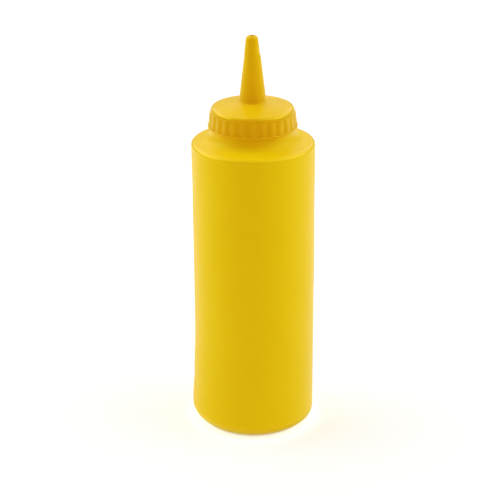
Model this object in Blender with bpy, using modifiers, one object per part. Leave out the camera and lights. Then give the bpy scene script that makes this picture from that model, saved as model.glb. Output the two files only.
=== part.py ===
"""Condiment squeeze bottle: a round soft plastic bottle and its ribbed screw cap, whose cone nozzle pours.

Metres, +Z up. The origin is the centre of the base, on the surface that the bottle stands on.
The bottle is full and shut, so it is solid up to the neck that the cap sits on.
"""

import math

import bpy

MM = 0.001
GAP = 0.3 * MM  # between the neck and the cap

# Bottle
BODY_RADIUS = 28.6 * MM
BASE_CORNER = 7.2 * MM
FOOT_WIDTH = 3.4 * MM  # flat ring that touches the surface below
PUSH_UP = 1.2 * MM  # how far the middle of the base is raised
SHOULDER_RIM = 140.0 * MM  # height where wall and shoulder would meet without rounding
RIM_ROUNDING = 1.6 * MM
SHOULDER_SLOPE = math.radians(13.5)
NECK_EDGE = 0.5 * MM
COLLAR_RADIUS = 19.2 * MM  # wider foot of the neck, just under the cap
COLLAR_FILLET = 5.0 * MM  # where the collar runs out into the shoulder
BOTTLE_STEPS = 72

# Cap skirt and top
CAP_BOTTOM = 147.2 * MM
CAP_RIM = 156.3 * MM  # height where skirt and top would meet without rounding
SKIRT_RADIUS = 19.85 * MM  # at the cap's lower edge, between the ribs
SKIRT_DRAFT = math.atan(0.095)
RIM_EDGE = 1.4 * MM
LIP_RADIUS = 20.55 * MM
LIP_HEIGHT = 0.6 * MM
LIP_EDGE = 0.15 * MM
SOCKET_RADIUS = 18.0 * MM
NECK_RADIUS = SOCKET_RADIUS - GAP
COLLAR_TOP = CAP_BOTTOM - GAP
TOP_WALL = 1.7 * MM
DOME_RISE = 2.7 * MM  # of the top, from the rim to the foot of the nozzle
DOME_CROWN = 1.3  # 1 is a straight cone, 2 a round dome
DOME_RINGS = 4

# Grip ribs
RIB_COUNT = 28
RIB_HALF_WIDTH = 1.5 * MM
RIB_HALF_DEPTH = 0.6 * MM
RIB_STAND = 0.35 * MM  # how far a rib stands out of the skirt
RIB_TOP = 155.2 * MM
RIB_STEPS = 16
CAP_STEPS = 2 * RIB_COUNT

# Nozzle
NOZZLE_FOOT_RADIUS = 6.1 * MM
NOZZLE_FILLET = 1.2 * MM
NOZZLE_TAPER = math.atan(0.119)
CONE_TOP = 180.6 * MM  # where the cone ends in a small step and the slimmer tip starts
CONE_TOP_RADIUS = 3.68 * MM
TIP_FOOT_RADIUS = 3.58 * MM
TIP_RADIUS = 2.8 * MM
TIP_HEIGHT = 189.2 * MM
TIP_ROUNDING = 1.6 * MM
ORIFICE_RADIUS = 1.1 * MM
ORIFICE_DEPTH = 9.0 * MM

YELLOW = (0.86, 0.56, 0.02, 1.0)


def clear_scene():
    for obj in list(bpy.data.objects):
        bpy.data.objects.remove(obj, do_unlink=True)


def new_collection(name):
    collection = bpy.data.collections.new(name)
    bpy.context.scene.collection.children.link(collection)
    return collection


def soft_plastic(name, roughness):
    """Waxy, slightly translucent coloured polyethylene."""
    material = bpy.data.materials.new(name)
    material.use_nodes = True
    shader = material.node_tree.nodes["Principled BSDF"]
    shader.inputs["Base Color"].default_value = YELLOW
    shader.inputs["Metallic"].default_value = 0.0
    shader.inputs["Roughness"].default_value = roughness
    shader.inputs["Subsurface Weight"].default_value = 0.1
    return material


def arc(centre, radius, start, end, steps):
    """Points from angle start to angle end, in degrees from +R towards +Z."""
    points = []
    for i in range(steps + 1):
        angle = math.radians(start + (end - start) * i / steps)
        points.append((centre[0] + radius * math.cos(angle), centre[1] + radius * math.sin(angle)))
    return points


def turned(name, profile, steps, collection):
    """A body turned about +Z from (radius, height) points that run down its outer side."""
    mesh = bpy.data.meshes.new(name)
    vertices = [(radius, 0.0, height) for radius, height in profile]
    mesh.from_pydata(vertices, [(i, i + 1) for i in range(len(profile) - 1)], [])
    obj = bpy.data.objects.new(name, mesh)
    collection.objects.link(obj)
    screw = obj.modifiers.new("turn", "SCREW")
    screw.steps = steps
    screw.render_steps = steps
    screw.use_merge_vertices = True
    screw.merge_threshold = 0.01 * MM
    screw.use_smooth_shade = True
    return obj


def neck_profile():
    """Plain neck that fills the cap's socket, and the collar at its foot, which shows under the cap."""
    top = CAP_RIM - TOP_WALL - GAP
    neck = [(0.0, top), (NECK_RADIUS - NECK_EDGE, top), (NECK_RADIUS, top - NECK_EDGE)]
    return neck + [(NECK_RADIUS, COLLAR_TOP), (COLLAR_RADIUS, COLLAR_TOP)]


def shoulder_profile():
    """Fillet at the collar's foot, the sloping shoulder and its rounded rim."""
    slope = math.degrees(SHOULDER_SLOPE)
    rim_centre = (BODY_RADIUS - RIM_ROUNDING, SHOULDER_RIM - RIM_ROUNDING)
    rim = arc(rim_centre, RIM_ROUNDING, 90 - slope, 0, 5)
    slope_radius, slope_height = rim[0]
    fillet_radius = COLLAR_RADIUS + COLLAR_FILLET
    slope_under_fillet = slope_height + (slope_radius - fillet_radius) * math.tan(SHOULDER_SLOPE)
    fillet_centre = (fillet_radius, slope_under_fillet + COLLAR_FILLET / math.cos(SHOULDER_SLOPE))
    return arc(fillet_centre, COLLAR_FILLET, 180, 270 - slope, 5) + rim


def body_profile():
    """Rounded corner at the foot of the straight wall, standing ring and raised middle of the base."""
    corner = arc((BODY_RADIUS - BASE_CORNER, BASE_CORNER), BASE_CORNER, 0, -90, 6)
    foot_inside = BODY_RADIUS - BASE_CORNER - FOOT_WIDTH
    push_up_edge = foot_inside - 2 * PUSH_UP
    return corner + [(foot_inside, 0.0), (push_up_edge, PUSH_UP), (0.0, PUSH_UP)]


def make_bottle(collection):
    profile = neck_profile() + shoulder_profile() + body_profile()
    bottle = turned("bottle", profile, BOTTLE_STEPS, collection)
    bottle.data.materials.append(soft_plastic("bottle_plastic", 0.42))
    return bottle


def skirt_radius(height):
    """Radius of the skirt between its ribs: it narrows upwards by the mould's draft."""
    return SKIRT_RADIUS - (height - CAP_BOTTOM) * math.tan(SKIRT_DRAFT)


def dome_height(radius, rim_radius, rim_height):
    """Height of the crowned top at this radius, outside the nozzle."""
    share = (radius - NOZZLE_FOOT_RADIUS) / (rim_radius - NOZZLE_FOOT_RADIUS)
    return rim_height + DOME_RISE * (1 - share**DOME_CROWN)


def tip_profile():
    """Blind orifice, rounded tip and the slim cone under it, down to the small step."""
    bore = [(0.0, TIP_HEIGHT - ORIFICE_DEPTH), (ORIFICE_RADIUS, TIP_HEIGHT - ORIFICE_DEPTH)]
    mouth = [(ORIFICE_RADIUS, TIP_HEIGHT)]
    tip_centre = (TIP_RADIUS - TIP_ROUNDING, TIP_HEIGHT - TIP_ROUNDING)
    tip = arc(tip_centre, TIP_ROUNDING, 90, math.degrees(NOZZLE_TAPER), 4)
    step_height = CONE_TOP_RADIUS - TIP_FOOT_RADIUS
    step = [(TIP_FOOT_RADIUS, CONE_TOP), (CONE_TOP_RADIUS, CONE_TOP - step_height)]
    return bore + mouth + tip + step


def cap_top_profile():
    """Fillet at the nozzle's foot, the crowned top and its rounded rim."""
    edge_centre = (skirt_radius(CAP_RIM) - RIM_EDGE, CAP_RIM - RIM_EDGE)
    dome_span = edge_centre[0] - NOZZLE_FOOT_RADIUS
    rim_slope = math.degrees(math.atan(DOME_CROWN * DOME_RISE / dome_span))
    edge = arc(edge_centre, RIM_EDGE, 90 - rim_slope, math.degrees(SKIRT_DRAFT), 4)
    rim_radius, rim_height = edge[0]
    fillet_end = NOZZLE_FOOT_RADIUS + NOZZLE_FILLET
    fillet_centre = (fillet_end, dome_height(fillet_end, rim_radius, rim_height) + NOZZLE_FILLET)
    fillet = arc(fillet_centre, NOZZLE_FILLET, 180 + math.degrees(NOZZLE_TAPER), 270, 3)
    dome = []
    for ring in range(1, DOME_RINGS):
        radius = fillet_end + (rim_radius - fillet_end) * ring / DOME_RINGS
        dome.append((radius, dome_height(radius, rim_radius, rim_height)))
    return fillet + dome + edge


def skirt_profile():
    """Plain skirt, the thin lip at its lower edge and the socket that the neck fills."""
    lip_top = CAP_BOTTOM + LIP_HEIGHT
    ceiling = CAP_RIM - TOP_WALL
    return [
        (skirt_radius(lip_top), lip_top),
        (LIP_RADIUS - LIP_EDGE, lip_top),
        (LIP_RADIUS, lip_top - LIP_EDGE),
        (LIP_RADIUS, CAP_BOTTOM + LIP_EDGE),
        (LIP_RADIUS - LIP_EDGE, CAP_BOTTOM),
        (SOCKET_RADIUS, CAP_BOTTOM),
        (SOCKET_RADIUS, ceiling),
        (0.0, ceiling),
    ]


def make_rib(index, collection):
    """An upright bar with a round top, sunk in the skirt so that only its face stands out."""
    bar_foot = CAP_BOTTOM + 0.5 * LIP_HEIGHT - RIB_TOP
    profile = arc((0.0, -RIB_HALF_WIDTH), RIB_HALF_WIDTH, 90, 0, 4)
    profile += [(RIB_HALF_WIDTH, bar_foot), (0.0, bar_foot)]
    rib = turned(f"rib_{index:02d}", profile, RIB_STEPS, collection)
    angle = 2 * math.pi * index / RIB_COUNT - math.pi / 2
    reach = skirt_radius(RIB_TOP) + RIB_STAND - RIB_HALF_DEPTH
    rib.location = (reach * math.cos(angle), reach * math.sin(angle), RIB_TOP)
    rib.rotation_euler = (0.0, -SKIRT_DRAFT, angle)
    rib.scale = (RIB_HALF_DEPTH / RIB_HALF_WIDTH, 1.0, 1.0)
    rib.hide_render = True
    rib.display_type = "WIRE"
    return rib


def make_cap(collection, rib_collection):
    profile = tip_profile() + cap_top_profile() + skirt_profile()
    cap = turned("cap", profile, CAP_STEPS, collection)
    for index in range(RIB_COUNT):
        make_rib(index, rib_collection)
    join = cap.modifiers.new("join_ribs", "BOOLEAN")
    join.operation = "UNION"
    join.operand_type = "COLLECTION"
    join.collection = rib_collection
    join.solver = "EXACT"
    cap.data.materials.append(soft_plastic("cap_plastic", 0.38))
    return cap


def main():
    clear_scene()
    bottle_collection = new_collection("squeeze_bottle")
    rib_collection = new_collection("cap_ribs")
    make_bottle(bottle_collection)
    make_cap(bottle_collection, rib_collection)


main()
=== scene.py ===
"""The looks of the squeeze bottle: moulded pieces, satin yellow plastic, a pale floor and soft light.

Every length is in metres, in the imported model's own frame: +Z up, the base's centre at the origin.
"""

import math

import bpy
import numpy as np
from mathutils import Matrix, Vector


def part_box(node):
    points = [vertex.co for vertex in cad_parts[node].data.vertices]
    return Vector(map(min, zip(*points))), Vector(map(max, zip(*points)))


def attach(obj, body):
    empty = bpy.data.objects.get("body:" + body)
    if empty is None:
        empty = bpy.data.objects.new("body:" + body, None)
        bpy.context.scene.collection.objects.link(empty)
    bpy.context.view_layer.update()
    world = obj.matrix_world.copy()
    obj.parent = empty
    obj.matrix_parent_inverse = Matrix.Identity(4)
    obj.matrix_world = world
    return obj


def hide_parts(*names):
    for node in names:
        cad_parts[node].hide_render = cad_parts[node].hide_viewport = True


MM = 0.001

# Bottle; the frame's boxes give its radius, its top and the cap's lower edge
BASE_CORNER = 7.2 * MM
FOOT_WIDTH = 3.4 * MM
PUSH_UP = 1.2 * MM
SHOULDER_RIM = 140.0 * MM
RIM_ROUNDING = 1.6 * MM
SHOULDER_SLOPE = math.radians(13.5)
NECK_RADIUS = 17.7 * MM
NECK_EDGE = 0.5 * MM
COLLAR_RADIUS = 19.2 * MM
COLLAR_GAP = 0.3 * MM  # under the cap
COLLAR_EDGE = 0.15 * MM
COLLAR_FILLET = 5.0 * MM

# The soft wall: pressed in along its left side, swollen at the heel under it, fuller at the right heel.
# Each set of fades holds four heights: where the change starts, is full, is full until, and ends.
PRESS_DEPTH = 0.68 * MM
PRESS_FADES = (24 * MM, 46 * MM, 112 * MM, 165 * MM)
LEFT_HEEL_SWELL = 0.93 * MM
LEFT_HEEL_FADES = (1 * MM, 8 * MM, 8 * MM, 24 * MM)
RIGHT_SWELL = 0.08 * MM
RIGHT_FADES = (10 * MM, 35 * MM, 85 * MM, 120 * MM)
RIGHT_HEEL_SWELL = 0.6 * MM
RIGHT_HEEL_FADES = (0.5 * MM, 2.5 * MM, 3 * MM, 7.2 * MM)
WAVES = ((0.045, 3, 61, 0.4), (0.030, 5, -43, 2.1), (0.020, 8, 29, 4.0))  # mm, lobes, mm per turn, phase
WAVE_FADES = (0.0, 2 * BASE_CORNER, 112 * MM, SHOULDER_RIM)

# Mould seam of the bottle
SEAM_ANGLES = (math.radians(12), math.radians(192))
SEAM_HALF_WIDTH = 0.22 * MM
SEAM_HEIGHT = 0.07 * MM
SEAM_STEP = math.radians(0.11)
SEAM_STEPS = 5  # to each side of the seam
SEAM_FADES = (0.9, 0.97)  # of the body's radius: no seam inside the first, the whole seam outside the second

# Cap skirt and top
CAP_RIM = 156.3 * MM
SKIRT_RADIUS = 19.85 * MM
SKIRT_DRAFT = math.atan(0.095)
RIM_REACH = 1.3 * MM  # the rim's rounding is oval: this far inwards
RIM_DROP = 2.6 * MM  # and this far downwards
RIM_POINTS = 15
LIP_HEIGHT = 0.6 * MM
LIP_EDGE = 0.2 * MM
SOCKET_RADIUS = 18.0 * MM
TOP_WALL = 1.7 * MM
DOME_RISE = 2.7 * MM
DOME_CROWN = 1.3  # 1 is a straight cone, 2 a round dome
DOME_POINTS = 16

# Grip ribs
RIB_COUNT = 28
RIB_HALF_WIDTH = 1.5 * MM
RIB_HALF_DEPTH = 0.6 * MM
RIB_STAND = 0.35 * MM
RIB_TOP = 155.2 * MM
RIB_BLEND = 0.2 * MM  # softness of the corner between rib and skirt
SKIRT_SLACK = 0.001 * MM  # within this of the skirt, a point is on it

# Nozzle
NOZZLE_FOOT_RADIUS = 6.1 * MM
NOZZLE_FILLET = 1.2 * MM
NOZZLE_TAPER = math.atan(0.119)
CONE_TOP = 180.6 * MM
CONE_TOP_RADIUS = 3.68 * MM
TIP_FOOT_RADIUS = 3.58 * MM
TIP_RADIUS = 2.8 * MM
TIP_ROUNDING = 1.6 * MM
MOUTH_ROUNDING = 0.15 * MM
ORIFICE_RADIUS = 1.1 * MM
ORIFICE_DEPTH = 9.0 * MM
TIP_OFFSET = -0.2 * MM  # the slim tip sits a little to the left of the cone
TIP_OFFSET_HEIGHTS = (179.8 * MM, 181.2 * MM)

# Mesh density
FINE_STEP = 0.2 * MM
COARSE_STEP = 1.0 * MM
BOTTLE_ANGLES = 216
ANGLES_PER_RIB = 20

# Plastic: a satin surface, rubbed smoother on the rims of shoulder and cap
BOTTLE_LIGHT = (0.87, 0.562, 0.0045, 1.0)
BOTTLE_DARK = (0.86, 0.555, 0.0043, 1.0)
CAP_LIGHT = (0.802, 0.482, 0.0045, 1.0)
CAP_DARK = (0.792, 0.476, 0.0043, 1.0)
GLOSS = 0.3
ROUGHNESS = 0.37
ROUGHNESS_SPREAD = 0.05
RIM_GLOSS = 1.0
RIM_ROUGHNESS = 0.16
RIM_POLISH = (0.8 * MM, 1.5 * MM)  # full up to, and gone at, this distance from the middle of the rim
SHOULDER_RIM_INSET = 0.64 * MM  # the rim's middle lies this far inside the sharp corner, in and down
CAP_RIM_INSET = 0.4 * MM
SAME_ALL_OVER = {
    "IOR": 1.5,
    "Specular Tint": (1.0, 0.84, 0.12, 1.0),
    "Subsurface Weight": 0.15,
    "Subsurface Radius": (1.0, 0.5, 0.1),
    "Subsurface Scale": 2.0 * MM,
}

# Noise in the plastic: scale, detail, distortion
FLOW_STREAKS = (38.0, 4.0, 0.6)
SCUFFS = (170.0, 5.0, 0.0)
GRAIN = (1400.0, 3.0, 0.0)
GRAIN_STRENGTH = 0.1
GRAIN_DEPTH = 0.02 * MM

# Strips of painted shade: how deep the shade is, how far from the strip's middle height it is full, and
# where it is gone
# Painted shade on the ribbed skirt, darker and more orange where it sits between the cap's top and the
# shoulder
GRIP_PAINTED_SHADE = (0.94, 0.90, 1.0, 1.0)
GRIP_SHADE_FADE = (3.3 * MM, 4.1 * MM)
# Painted shade on the heel's underside, where the bottle's contact shadow falls next to the floor
HEEL_PAINTED_SHADE = (0.60, 0.66, 0.8, 1.0)
HEEL_SHADE_FADE = (2.2 * MM, 6.0 * MM)

# Camera: where it stands, how far it looks down, and its lens on a 36 mm sensor
CAMERA_PLACE = Vector((-0.001475, -0.6961, 0.3761))
CAMERA_PITCH = math.radians(22.636)
CAMERA_ROLL = math.radians(0.2515)
CAMERA_LENS = 115.62
CAMERA_SENSOR = 36.0

# Light: an even room, a lamp far overhead, and softboxes round the bottle
ROOM_LIGHT = 0.372
LIGHT_TARGET = Vector((0.0, 0.0, 0.09))
OVERHEAD_HEIGHT = 6.0
OVERHEAD_WIDTH = 2.2
OVERHEAD_POWER = 42.5
SOFTBOX_DISTANCE = 0.9

# Softboxes: name, azimuth and elevation in degrees, width, height, power
# Azimuth 0 is the camera's side, 90 its left.
SOFTBOXES = (
    ("right", 270, 30, 0.8, 0.22, 2.3),
    ("left", 90, 30, 0.8, 0.22, 2.2),
    ("back_left", 120, 30, 0.8, 0.22, 0.92),
    ("back", 172, 30, 0.8, 0.3, 0.76),
    ("back_right", 215, 30, 0.8, 0.3, 0.25),
    ("high_left", 110, 52, 0.6, 0.6, 0.68),
    ("high_front_left", 60, 52, 0.6, 0.6, 0.17),
    ("high_front_right", 300, 52, 0.6, 0.6, 1.0),
    ("high_right", 250, 52, 0.6, 0.6, 0.47),
    ("high_back_left", 150, 52, 0.6, 0.6, 0.77),
    ("high_back_right", 210, 52, 0.6, 0.6, 0.6),
)

# Painted light: the floor glows, brightest in a ring round the bottle's foot that fills its contact shadow,
# and brighter again far out: distance from the middle, strength
PAINTED_FLOOR_GLOW = (
    (0.0, 0.02),
    (22 * MM, 0.02),
    (25 * MM, 0.60),
    (28 * MM, 0.50),
    (35 * MM, 0.18),
    (42 * MM, 0.13),
    (60 * MM, 0.085),
    (400 * MM, 0.085),
    (800 * MM, 0.25),
)

# Floor: a wide disc just under the base
FLOOR_RADIUS = 4.0
FLOOR_CORNERS = 96
FLOOR_DROP = 0.02 * MM
WHITE = (1.0, 1.0, 1.0, 1.0)
PALE_GREY = (0.9, 0.9, 0.9, 1.0)

# Tone curve of the picture, between its fixed ends: a soft toe and slightly lifted mid tones
COMBINED_CURVE = 3  # after those of red, green and blue
TONE_CURVE = ((0.03, 0.018), (0.12, 0.095), (0.3, 0.272), (0.55, 0.582), (0.8, 0.803), (0.98, 0.99))


def smooth_step(value, low, high):
    """0 below low, 1 above high and an even S between them, for numbers or arrays."""
    share = np.clip((value - low) / (high - low), 0.0, 1.0)
    return share * share * (3.0 - 2.0 * share)


def rise_and_fall(value, fades):
    """0 before the first place, 1 between the second and the third, 0 again after the fourth."""
    start, full, full_until, end = fades
    return smooth_step(value, start, full) * (1 - smooth_step(value, full_until, end))


def arc(centre, radius, start, end, steps=12):
    """Points from angle start to angle end, in degrees from +R towards +Z."""
    points = []
    for i in range(steps + 1):
        angle = math.radians(start + (end - start) * i / steps)
        points.append((centre[0] + radius * math.cos(angle), centre[1] + radius * math.sin(angle)))
    return points


def dense(points, spacing):
    """The same outline with its long stretches divided into steps of about this spacing."""
    result = [points[0]]
    for (r0, z0), (r1, z1) in zip(points, points[1:]):
        steps = max(1, math.ceil(math.hypot(r1 - r0, z1 - z0) / spacing))
        for i in range(1, steps + 1):
            share = i / steps
            result.append((r0 + (r1 - r0) * share, z0 + (z1 - z0) * share))
    return result


def turned_piece(name, outline, angles, shape):
    """A closed body turned about +Z. Its outline runs down the outer side from axis to axis.

    shape(radius, height, angle) takes arrays and gives the moulded radius at each place.
    """
    outline = np.array(outline)
    angles = np.array(angles)
    rings = outline[1:-1]
    radius, angle = np.meshgrid(rings[:, 0], angles, indexing="ij")
    height = np.repeat(rings[:, 1:2], len(angles), axis=1)
    radius = shape(radius, height, angle)
    ring_points = np.stack([radius * np.cos(angle), radius * np.sin(angle), height], axis=-1)
    points = ring_points.reshape(-1, 3).tolist()
    top, bottom = len(points), len(points) + 1
    points += [(0.0, 0.0, outline[0, 1]), (0.0, 0.0, outline[-1, 1])]
    count = len(angles)
    last = (len(rings) - 1) * count
    faces = []
    for j in range(count):
        after = (j + 1) % count
        faces.append((top, j, after))
        faces.append((bottom, last + after, last + j))
        for i in range(len(rings) - 1):
            a, b = i * count, (i + 1) * count
            faces.append((a + j, b + j, b + after, a + after))
    mesh = bpy.data.meshes.new(name)
    mesh.from_pydata(points, [], faces)
    mesh.shade_smooth()
    obj = bpy.data.objects.new(name, mesh)
    bpy.context.scene.collection.objects.link(obj)
    return obj


def even_angles(count):
    return [2 * math.pi * i / count for i in range(count)]


# ---- Bottle ----


def bottle_outline(body_radius, neck_top, cap_bottom):
    """Neck, collar, shoulder, wall, heel and base, from the top down."""
    slope = math.degrees(SHOULDER_SLOPE)
    neck = [(0.0, neck_top), (NECK_RADIUS - NECK_EDGE, neck_top), (NECK_RADIUS, neck_top - NECK_EDGE)]
    collar_top = cap_bottom - COLLAR_GAP
    collar_corner = (COLLAR_RADIUS - COLLAR_EDGE, collar_top - COLLAR_EDGE)
    neck += [(NECK_RADIUS, collar_top)] + arc(collar_corner, COLLAR_EDGE, 90, 0, steps=3)
    rim_centre = (body_radius - RIM_ROUNDING, SHOULDER_RIM - RIM_ROUNDING)
    rim = arc(rim_centre, RIM_ROUNDING, 90 - slope, 0)
    fillet_radius = COLLAR_RADIUS + COLLAR_FILLET
    under_fillet = rim[0][1] + (rim[0][0] - fillet_radius) * math.tan(SHOULDER_SLOPE)
    fillet_centre = (fillet_radius, under_fillet + COLLAR_FILLET / math.cos(SHOULDER_SLOPE))
    fillet = arc(fillet_centre, COLLAR_FILLET, 180, 270 - slope, steps=16)
    corner = arc((body_radius - BASE_CORNER, BASE_CORNER), BASE_CORNER, 0, -90, steps=16)
    foot_inside = body_radius - BASE_CORNER - FOOT_WIDTH
    base = [(foot_inside, 0.0), (foot_inside - 2 * PUSH_UP, PUSH_UP), (0.0, PUSH_UP)]
    return dense(neck + fillet + rim + corner + base, COARSE_STEP)


def soft_wall(radius, height, angle, body_radius):
    """How far the wall stands in or out of its round shape."""
    left = ((1 - np.cos(angle)) / 2) ** 2  # 1 at -X, 0 at +X
    right = ((1 + np.cos(angle)) / 2) ** 2
    press = PRESS_DEPTH * rise_and_fall(height, PRESS_FADES)
    left_swell = LEFT_HEEL_SWELL * rise_and_fall(height, LEFT_HEEL_FADES)
    right_swell = RIGHT_SWELL * rise_and_fall(height, RIGHT_FADES)
    right_swell += RIGHT_HEEL_SWELL * rise_and_fall(height, RIGHT_HEEL_FADES)
    change = left * (left_swell - press) + right * right_swell
    on_wall = rise_and_fall(height, WAVE_FADES)
    for size, lobes, pitch, phase in WAVES:
        turn = lobes * angle + 2 * math.pi * height / (pitch * MM) + phase
        change += size * MM * on_wall * np.sin(turn)
    outer = smooth_step(radius, COLLAR_RADIUS + COLLAR_FILLET, body_radius - RIM_ROUNDING)
    return change * outer


def seam_relief(radius, angle, body_radius):
    """A fine ridge up both sides where the halves of the mould met."""
    relief = np.zeros_like(radius)
    for seam in SEAM_ANGLES:
        across = np.abs(radius * np.sin(angle - seam)) / SEAM_HALF_WIDTH
        facing = np.cos(angle - seam) > 0
        relief += np.where(facing, np.clip(1 - across**2, 0, 1) * SEAM_HEIGHT, 0.0)
    return relief * smooth_step(radius / body_radius, *SEAM_FADES)


def bottle_angles():
    """Even steps, with close ones across each seam."""
    angles = set(even_angles(BOTTLE_ANGLES))
    for seam in SEAM_ANGLES:
        for step in range(-SEAM_STEPS, SEAM_STEPS + 1):
            angles.add(seam + step * SEAM_STEP)
    return sorted(angles)


def make_bottle():
    low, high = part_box("bottle")
    body_radius = (high.x - low.x) / 2

    def shape(radius, height, angle):
        relief = seam_relief(radius, angle, body_radius)
        return radius + soft_wall(radius, height, angle, body_radius) + relief

    cap_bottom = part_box("cap")[0].z
    outline = bottle_outline(body_radius, high.z, cap_bottom)
    return turned_piece("bottle_body", outline, bottle_angles(), shape)


# ---- Cap ----


def skirt_radius(height, cap_bottom):
    return SKIRT_RADIUS - (height - cap_bottom) * math.tan(SKIRT_DRAFT)


def dome_height(radius, rim_radius, rim_height):
    share = (radius - NOZZLE_FOOT_RADIUS) / (rim_radius - NOZZLE_FOOT_RADIUS)
    return rim_height + DOME_RISE * (1 - max(share, 0.0) ** DOME_CROWN)


def nozzle_outline(tip_height):
    """Blind orifice, rounded tip, the slim cone and the ledge under it."""
    taper = math.degrees(NOZZLE_TAPER)
    bore = [(0.0, tip_height - ORIFICE_DEPTH), (ORIFICE_RADIUS, tip_height - ORIFICE_DEPTH)]
    mouth_centre = (ORIFICE_RADIUS + MOUTH_ROUNDING, tip_height - MOUTH_ROUNDING)
    mouth = arc(mouth_centre, MOUTH_ROUNDING, 180, 90, steps=4)
    tip_centre = (TIP_RADIUS - TIP_ROUNDING, tip_height - TIP_ROUNDING)
    tip = arc(tip_centre, TIP_ROUNDING, 90, taper)
    step = CONE_TOP_RADIUS - TIP_FOOT_RADIUS
    ledge_centre = (TIP_FOOT_RADIUS, CONE_TOP - step)
    ledge = [(TIP_FOOT_RADIUS, CONE_TOP + step)] + arc(ledge_centre, step, 90, taper, steps=5)
    return bore + mouth + tip + ledge


def cap_top_outline(cap_bottom):
    """Fillet at the nozzle's foot, the crowned top and its oval rim."""
    dome_span = skirt_radius(CAP_RIM, cap_bottom) - RIM_REACH - NOZZLE_FOOT_RADIUS
    rim_slope = DOME_CROWN * DOME_RISE / dome_span
    start = math.atan(RIM_DROP / (RIM_REACH * rim_slope))
    end = math.atan(RIM_DROP * math.tan(SKIRT_DRAFT) / RIM_REACH)
    edge_foot = CAP_RIM - RIM_DROP * (1 - math.sin(end))
    edge_centre = skirt_radius(edge_foot, cap_bottom) - RIM_REACH * math.cos(end)
    edge = []
    for turn in np.linspace(start, end, RIM_POINTS):
        edge.append((edge_centre + RIM_REACH * math.cos(turn), CAP_RIM - RIM_DROP * (1 - math.sin(turn))))
    rim_radius, rim_height = edge[0]
    fillet_end = NOZZLE_FOOT_RADIUS + NOZZLE_FILLET
    fillet_centre = (fillet_end, dome_height(fillet_end, rim_radius, rim_height) + NOZZLE_FILLET)
    fillet = arc(fillet_centre, NOZZLE_FILLET, 180 + math.degrees(NOZZLE_TAPER), 270)
    dome = []
    for radius in np.linspace(fillet_end, rim_radius, DOME_POINTS)[1:-1]:
        dome.append((radius, dome_height(radius, rim_radius, rim_height)))
    return fillet + dome + edge


def cap_foot_outline(cap_bottom, lip_radius):
    """Thin lip at the skirt's lower edge, then the socket."""
    lip_top = cap_bottom + LIP_HEIGHT
    upper = arc((lip_radius - LIP_EDGE, lip_top - LIP_EDGE), LIP_EDGE, 90, 0, steps=6)
    lower = arc((lip_radius - LIP_EDGE, cap_bottom + LIP_EDGE), LIP_EDGE, 0, -90, steps=6)
    ceiling = CAP_RIM - TOP_WALL
    return upper + lower + [(SOCKET_RADIUS, cap_bottom), (SOCKET_RADIUS, ceiling), (0.0, ceiling)]


def rib_relief(radius, height, angle):
    """Height of the rounded ribs above the skirt, blended into it."""
    pitch = 2 * math.pi / RIB_COUNT
    from_rib = (angle + math.pi / 2 + pitch / 2) % pitch - pitch / 2
    across = from_rib * radius / RIB_HALF_WIDTH
    above = np.clip(height - (RIB_TOP - RIB_HALF_WIDTH), 0.0, None) / RIB_HALF_WIDTH
    swell = np.sqrt(np.clip(1 - across**2 - above**2, 0.0, 1.0))
    relief = RIB_HALF_DEPTH * swell - (RIB_HALF_DEPTH - RIB_STAND)
    return (relief + np.sqrt(relief**2 + RIB_BLEND**2)) / 2


def make_cap():
    low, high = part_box("cap")
    cap_bottom = low.z
    lip_radius = (high.x - low.x) / 2
    nozzle_and_top = dense(nozzle_outline(high.z) + cap_top_outline(cap_bottom), COARSE_STEP)
    lip_top = cap_bottom + LIP_HEIGHT
    skirt = dense([nozzle_and_top[-1], (skirt_radius(lip_top, cap_bottom), lip_top)], FINE_STEP)[1:]
    foot = dense(cap_foot_outline(cap_bottom, lip_radius), COARSE_STEP)
    skirt_top = nozzle_and_top[-1][1]
    inside = (SOCKET_RADIUS + skirt_radius(skirt_top, cap_bottom)) / 2

    def shape(radius, height, angle):
        on_skirt = (height <= skirt_top) & (height >= lip_top - SKIRT_SLACK) & (radius > inside)
        on_skirt &= radius < skirt_radius(height, cap_bottom) + SKIRT_SLACK
        return radius + np.where(on_skirt, rib_relief(radius, height, angle), 0.0)

    angles = even_angles(RIB_COUNT * ANGLES_PER_RIB)
    cap = turned_piece("cap_moulding", nozzle_and_top + skirt + foot, angles, shape)
    for vertex in cap.data.vertices:
        vertex.co.x += TIP_OFFSET * float(smooth_step(vertex.co.z, *TIP_OFFSET_HEIGHTS))
    return cap


# ---- Materials ----


def set_inputs(tree, node, inputs):
    """Gives each input its value, or links it where the value is another node's output."""
    for name, value in inputs.items():
        if isinstance(value, bpy.types.NodeSocket):
            tree.links.new(value, node.inputs[name])
        else:
            node.inputs[name].default_value = value


def add_node(tree, kind, inputs, **settings):
    """A new node; its settings, such as operation, come before its inputs."""
    node = tree.nodes.new(kind)
    for name, value in settings.items():
        setattr(node, name, value)
    set_inputs(tree, node, inputs)
    return node


def new_material(name):
    material = bpy.data.materials.new(name)
    material.use_nodes = True
    return material


def noise(tree, place, scale, detail, distortion):
    inputs = {"Vector": place, "Scale": scale, "Detail": detail, "Distortion": distortion}
    return add_node(tree, "ShaderNodeTexNoise", inputs).outputs["Fac"]


def mixed_colour(tree, factor, first, second, blend="MIX"):
    inputs = {"Factor": factor, "A": first, "B": second}
    mix = add_node(tree, "ShaderNodeMix", inputs, data_type="RGBA", blend_type=blend)
    return mix.outputs["Result"]


def fade(tree, value, limits, near, far):
    """near where the value is at the first limit or under it, far at the second limit or over it."""
    inputs = {"Value": value, "From Min": limits[0], "From Max": limits[1], "To Min": near, "To Max": far}
    return add_node(tree, "ShaderNodeMapRange", inputs).outputs["Result"]


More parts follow.
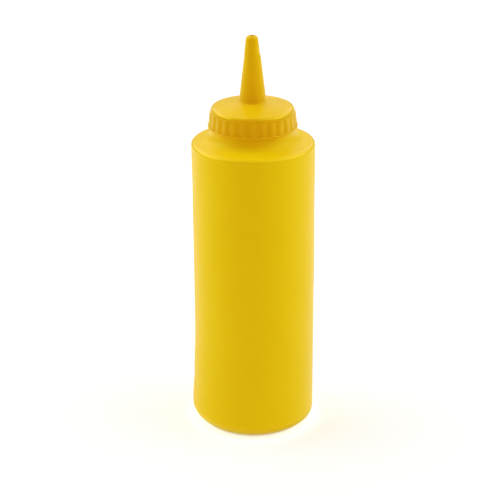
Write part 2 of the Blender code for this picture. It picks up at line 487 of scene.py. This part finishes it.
def distance_to_circle(tree, position, circle):
    """How far a point is from a level circle round the axis, which is given as (radius, height)."""
    across = add_node(tree, "ShaderNodeCombineXYZ", {"X": position["X"], "Y": position["Y"]})
    radius = add_node(tree, "ShaderNodeVectorMath", {0: across.outputs["Vector"]}, operation="LENGTH")
    profile = add_node(tree, "ShaderNodeCombineXYZ", {"X": radius.outputs["Value"], "Y": position["Z"]})
    inputs = {0: profile.outputs["Vector"], 1: (*circle, 0.0)}
    return add_node(tree, "ShaderNodeVectorMath", inputs, operation="DISTANCE").outputs["Value"]


def distance_to_height(tree, position, height):
    difference = add_node(tree, "ShaderNodeMath", {0: position["Z"], 1: height}, operation="SUBTRACT")
    inputs = {0: difference.outputs["Value"]}
    return add_node(tree, "ShaderNodeMath", inputs, operation="ABSOLUTE").outputs["Value"]


def plastic_colour(tree, place, position, light, dark, shade_band):
    """Faint flow streaks between two shades, darkened by painted shade in a level strip."""
    streaks = mixed_colour(tree, noise(tree, place, *FLOW_STREAKS), dark, light)
    shade_middle, shade_fade, painted_shade = shade_band
    in_shade = fade(tree, distance_to_height(tree, position, shade_middle), shade_fade, 1.0, 0.0)
    return mixed_colour(tree, in_shade, streaks, painted_shade, "MULTIPLY")


def plastic(name, light, dark, rim, shade_band):
    """Satin polyethylene: near-even colour with a strip of painted shade, fine grain and slight
    translucency, polished along one rim.
    """
    material = new_material(name)
    tree = material.node_tree
    place = add_node(tree, "ShaderNodeTexCoord", {}).outputs["Object"]
    position = add_node(tree, "ShaderNodeSeparateXYZ", {"Vector": place}).outputs
    scuffs = noise(tree, place, *SCUFFS)
    satin = fade(tree, scuffs, (0.0, 1.0), ROUGHNESS - ROUGHNESS_SPREAD, ROUGHNESS + ROUGHNESS_SPREAD)
    grain = noise(tree, place, *GRAIN)
    bump_inputs = {"Height": grain, "Strength": GRAIN_STRENGTH, "Distance": GRAIN_DEPTH}
    bump = add_node(tree, "ShaderNodeBump", bump_inputs)
    from_rim = distance_to_circle(tree, position, rim)
    looks = {
        "Base Color": plastic_colour(tree, place, position, light, dark, shade_band),
        "Roughness": fade(tree, from_rim, RIM_POLISH, RIM_ROUGHNESS, satin),
        "Specular IOR Level": fade(tree, from_rim, RIM_POLISH, RIM_GLOSS, GLOSS),
        "Normal": bump.outputs["Normal"],
    }
    set_inputs(tree, tree.nodes["Principled BSDF"], looks | SAME_ALL_OVER)
    return material


def white_floor():
    """Matt white with a painted glow that changes with distance from the middle."""
    material = new_material("floor_white")
    tree = material.node_tree
    place = add_node(tree, "ShaderNodeTexCoord", {}).outputs["Object"]
    distance = add_node(tree, "ShaderNodeVectorMath", {0: place}, operation="LENGTH").outputs["Value"]
    reach = PAINTED_FLOOR_GLOW[-1][0]
    share = add_node(tree, "ShaderNodeMath", {0: distance, 1: reach}, operation="DIVIDE")
    glow = add_node(tree, "ShaderNodeValToRGB", {"Fac": share.outputs["Value"]})
    stops = glow.color_ramp.elements
    stops.remove(stops[1])
    for radius, strength in PAINTED_FLOOR_GLOW:
        stop = stops[0] if radius == 0.0 else stops.new(radius / reach)
        stop.color = (strength, strength, strength, 1.0)
    looks = {
        "Base Color": PALE_GREY,
        "Roughness": 0.9,
        "Specular IOR Level": 0.1,
        "Emission Color": WHITE,
        "Emission Strength": glow.outputs["Color"],
    }
    set_inputs(tree, tree.nodes["Principled BSDF"], looks)
    return material


# ---- Stage ----


def make_floor():
    place = (0.0, 0.0, -FLOOR_DROP)
    bpy.ops.mesh.primitive_circle_add(
        vertices=FLOOR_CORNERS, radius=FLOOR_RADIUS, fill_type="NGON", location=place
    )
    floor = bpy.context.object
    floor.name = "floor"
    floor.data.materials.append(white_floor())


def make_softbox(name, azimuth, elevation, width, height, power, distance=SOFTBOX_DISTANCE):
    data = bpy.data.lights.new(f"softbox_{name}", "AREA")
    data.shape = "RECTANGLE"
    data.size = width
    data.size_y = height
    data.energy = power
    lamp = bpy.data.objects.new(data.name, data)
    bpy.context.scene.collection.objects.link(lamp)
    across, up = math.radians(azimuth), math.radians(elevation)
    direction = Vector((-math.sin(across) * math.cos(up), -math.cos(across) * math.cos(up), math.sin(up)))
    lamp.location = LIGHT_TARGET + direction * distance
    lamp.rotation_mode = "QUATERNION"
    lamp.rotation_quaternion = direction.to_track_quat("Z", "Y")
    lamp.visible_camera = False
    return lamp


def make_world():
    """Even white room; the camera sees plain white behind the floor."""
    world = bpy.data.worlds.new("studio")
    bpy.context.scene.world = world
    world.use_nodes = True
    tree = world.node_tree
    room = tree.nodes["Background"]
    set_inputs(tree, room, {"Color": WHITE, "Strength": ROOM_LIGHT})
    backdrop = add_node(tree, "ShaderNodeBackground", {"Color": WHITE, "Strength": 1.0})
    seen = add_node(tree, "ShaderNodeLightPath", {}).outputs["Is Camera Ray"]
    inputs = {0: seen, 1: room.outputs["Background"], 2: backdrop.outputs["Background"]}
    mix = add_node(tree, "ShaderNodeMixShader", inputs)
    set_inputs(tree, tree.nodes["World Output"], {"Surface": mix.outputs["Shader"]})


def set_tones():
    view = bpy.context.scene.view_settings
    view.view_transform = "Standard"
    view.look = "None"
    view.use_curve_mapping = True
    mapping = view.curve_mapping
    mapping.extend = "HORIZONTAL"
    for place, value in TONE_CURVE:
        mapping.curves[COMBINED_CURVE].points.new(place, value)
    mapping.update()


def make_camera():
    data = bpy.data.cameras.new("camera")
    data.lens = CAMERA_LENS
    data.sensor_width = CAMERA_SENSOR
    data.clip_start = 0.01
    data.clip_end = 50.0
    camera = bpy.data.objects.new("camera", data)
    bpy.context.scene.collection.objects.link(camera)
    look_down = Matrix.Rotation(math.pi / 2 - CAMERA_PITCH, 4, "X")
    roll = Matrix.Rotation(-CAMERA_ROLL, 4, "Z")
    camera.matrix_world = Matrix.Translation(CAMERA_PLACE) @ look_down @ roll
    bpy.context.scene.camera = camera


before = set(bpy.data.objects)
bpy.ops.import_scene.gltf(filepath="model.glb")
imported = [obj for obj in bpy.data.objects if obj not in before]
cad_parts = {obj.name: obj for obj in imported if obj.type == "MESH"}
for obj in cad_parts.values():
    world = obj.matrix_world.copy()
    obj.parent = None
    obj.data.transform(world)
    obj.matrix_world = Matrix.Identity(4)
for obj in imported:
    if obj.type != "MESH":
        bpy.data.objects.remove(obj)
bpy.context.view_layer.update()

make_camera()
make_floor()
make_world()
for softbox in SOFTBOXES:
    make_softbox(*softbox)
overhead_box = ("overhead", 0, 90, OVERHEAD_WIDTH, OVERHEAD_WIDTH, OVERHEAD_POWER)
overhead = make_softbox(*overhead_box, distance=OVERHEAD_HEIGHT)
overhead.visible_glossy = False

bottle = make_bottle()
body_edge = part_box("bottle")[1].x
shoulder_rim = (body_edge - SHOULDER_RIM_INSET, SHOULDER_RIM - SHOULDER_RIM_INSET)
# The heel's strip of painted shade, round the foot
heel_shade_band = (0.0, HEEL_SHADE_FADE, HEEL_PAINTED_SHADE)
bottle.data.materials.append(plastic("bottle_satin", BOTTLE_LIGHT, BOTTLE_DARK, shoulder_rim, heel_shade_band))
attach(bottle, "root")
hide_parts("bottle")

cap = make_cap()
cap_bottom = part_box("cap")[0].z
cap_rim = (skirt_radius(CAP_RIM, cap_bottom) - CAP_RIM_INSET, CAP_RIM - CAP_RIM_INSET)
# The skirt's strip of painted shade
grip_shade_band = ((cap_bottom + LIP_HEIGHT + RIB_TOP) / 2, GRIP_SHADE_FADE, GRIP_PAINTED_SHADE)
cap.data.materials.append(plastic("cap_satin", CAP_LIGHT, CAP_DARK, cap_rim, grip_shade_band))
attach(cap, "root")
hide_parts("cap")

set_tones()
